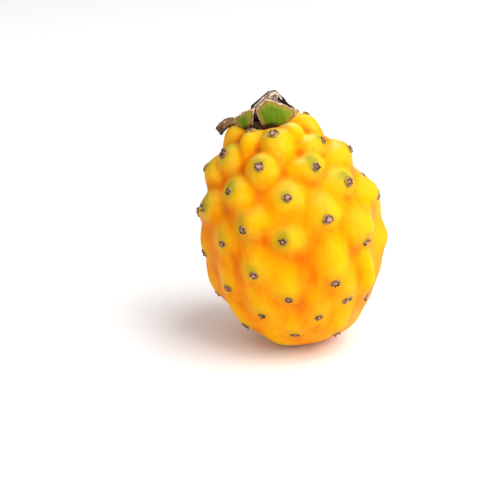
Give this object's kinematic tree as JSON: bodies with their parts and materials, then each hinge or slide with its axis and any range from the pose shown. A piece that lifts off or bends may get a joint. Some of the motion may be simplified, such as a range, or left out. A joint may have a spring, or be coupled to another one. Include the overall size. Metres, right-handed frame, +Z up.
{
  "type": "yellow dragon fruit",
  "caption": "Whole yellow dragon fruit: a leaning egg-shaped fruit with knobbly yellow skin, corky areoles, and a green and dried brown crown, standing on a small flat spot.",
  "frame": {"origin": "on the ground under the middle of the fruit's outline, at the height of its resting spot", "axes": "+Z up, the fruit's own axis leans 12 degrees from it towards -X; -Y is the side seen in the picture"},
  "size_m": [0.0826, 0.0812, 0.1115],
  "materials": {
    "skin_yellow": "waxy, satin fruit skin",
    "scale_green": "matte green plant skin with dry tan edges",
    "dried_brown": "dry, rough, dark plant remains"
  },
  "bodies": {
    "root": {"fruit_body": "skin_yellow", "crown_scales": "scale_green", "dried_tip": "dried_brown"}
  },
  "joints": []
}
